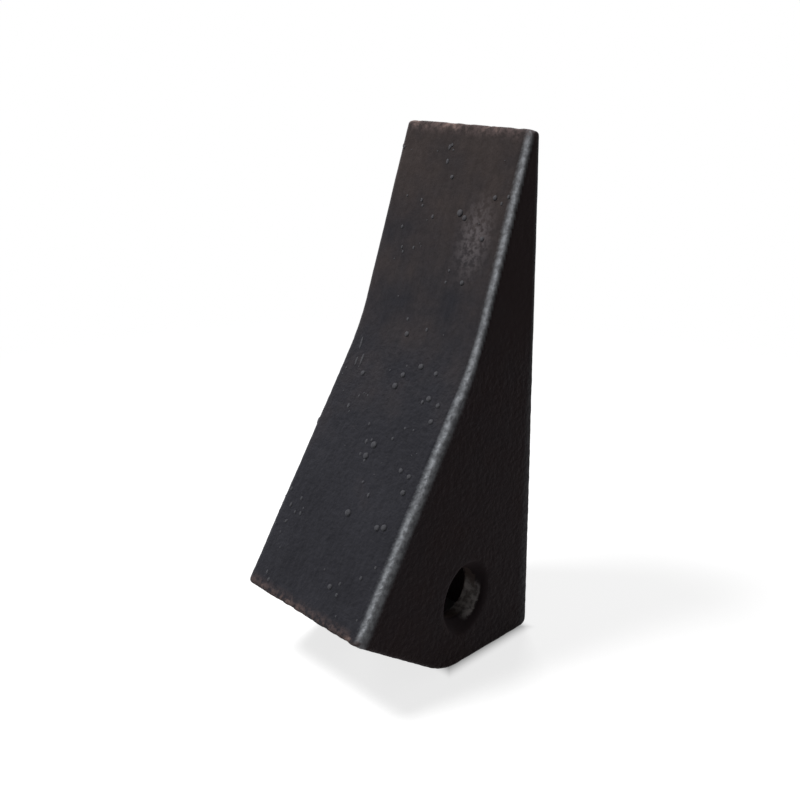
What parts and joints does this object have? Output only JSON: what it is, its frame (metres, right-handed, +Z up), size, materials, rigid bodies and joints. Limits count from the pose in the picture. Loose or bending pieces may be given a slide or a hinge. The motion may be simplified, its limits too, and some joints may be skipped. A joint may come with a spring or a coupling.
{
  "type": "bucket tooth",
  "caption": "Cast steel digging tooth for an excavator bucket, with a tapered socket that slips over an adapter's nose, pointed side ears and a cross pin bore.",
  "frame": {"origin": "on the floor under the middle of the tooth's outline, with the tooth standing on the lower facets of its two ears", "axes": "+X across the tooth along the pin bore, -Y the side of the bent top face, +Y the side of the flat underside, +Z up towards the digging edge; the socket axis leans 16 degrees from +Z towards +Y"},
  "size_m": [0.0782, 0.112, 0.2395],
  "materials": {
    "cast_steel": "satin black over cast skin"
  },
  "bodies": {
    "root": {"bucket_tooth": "cast_steel"}
  },
  "joints": []
}
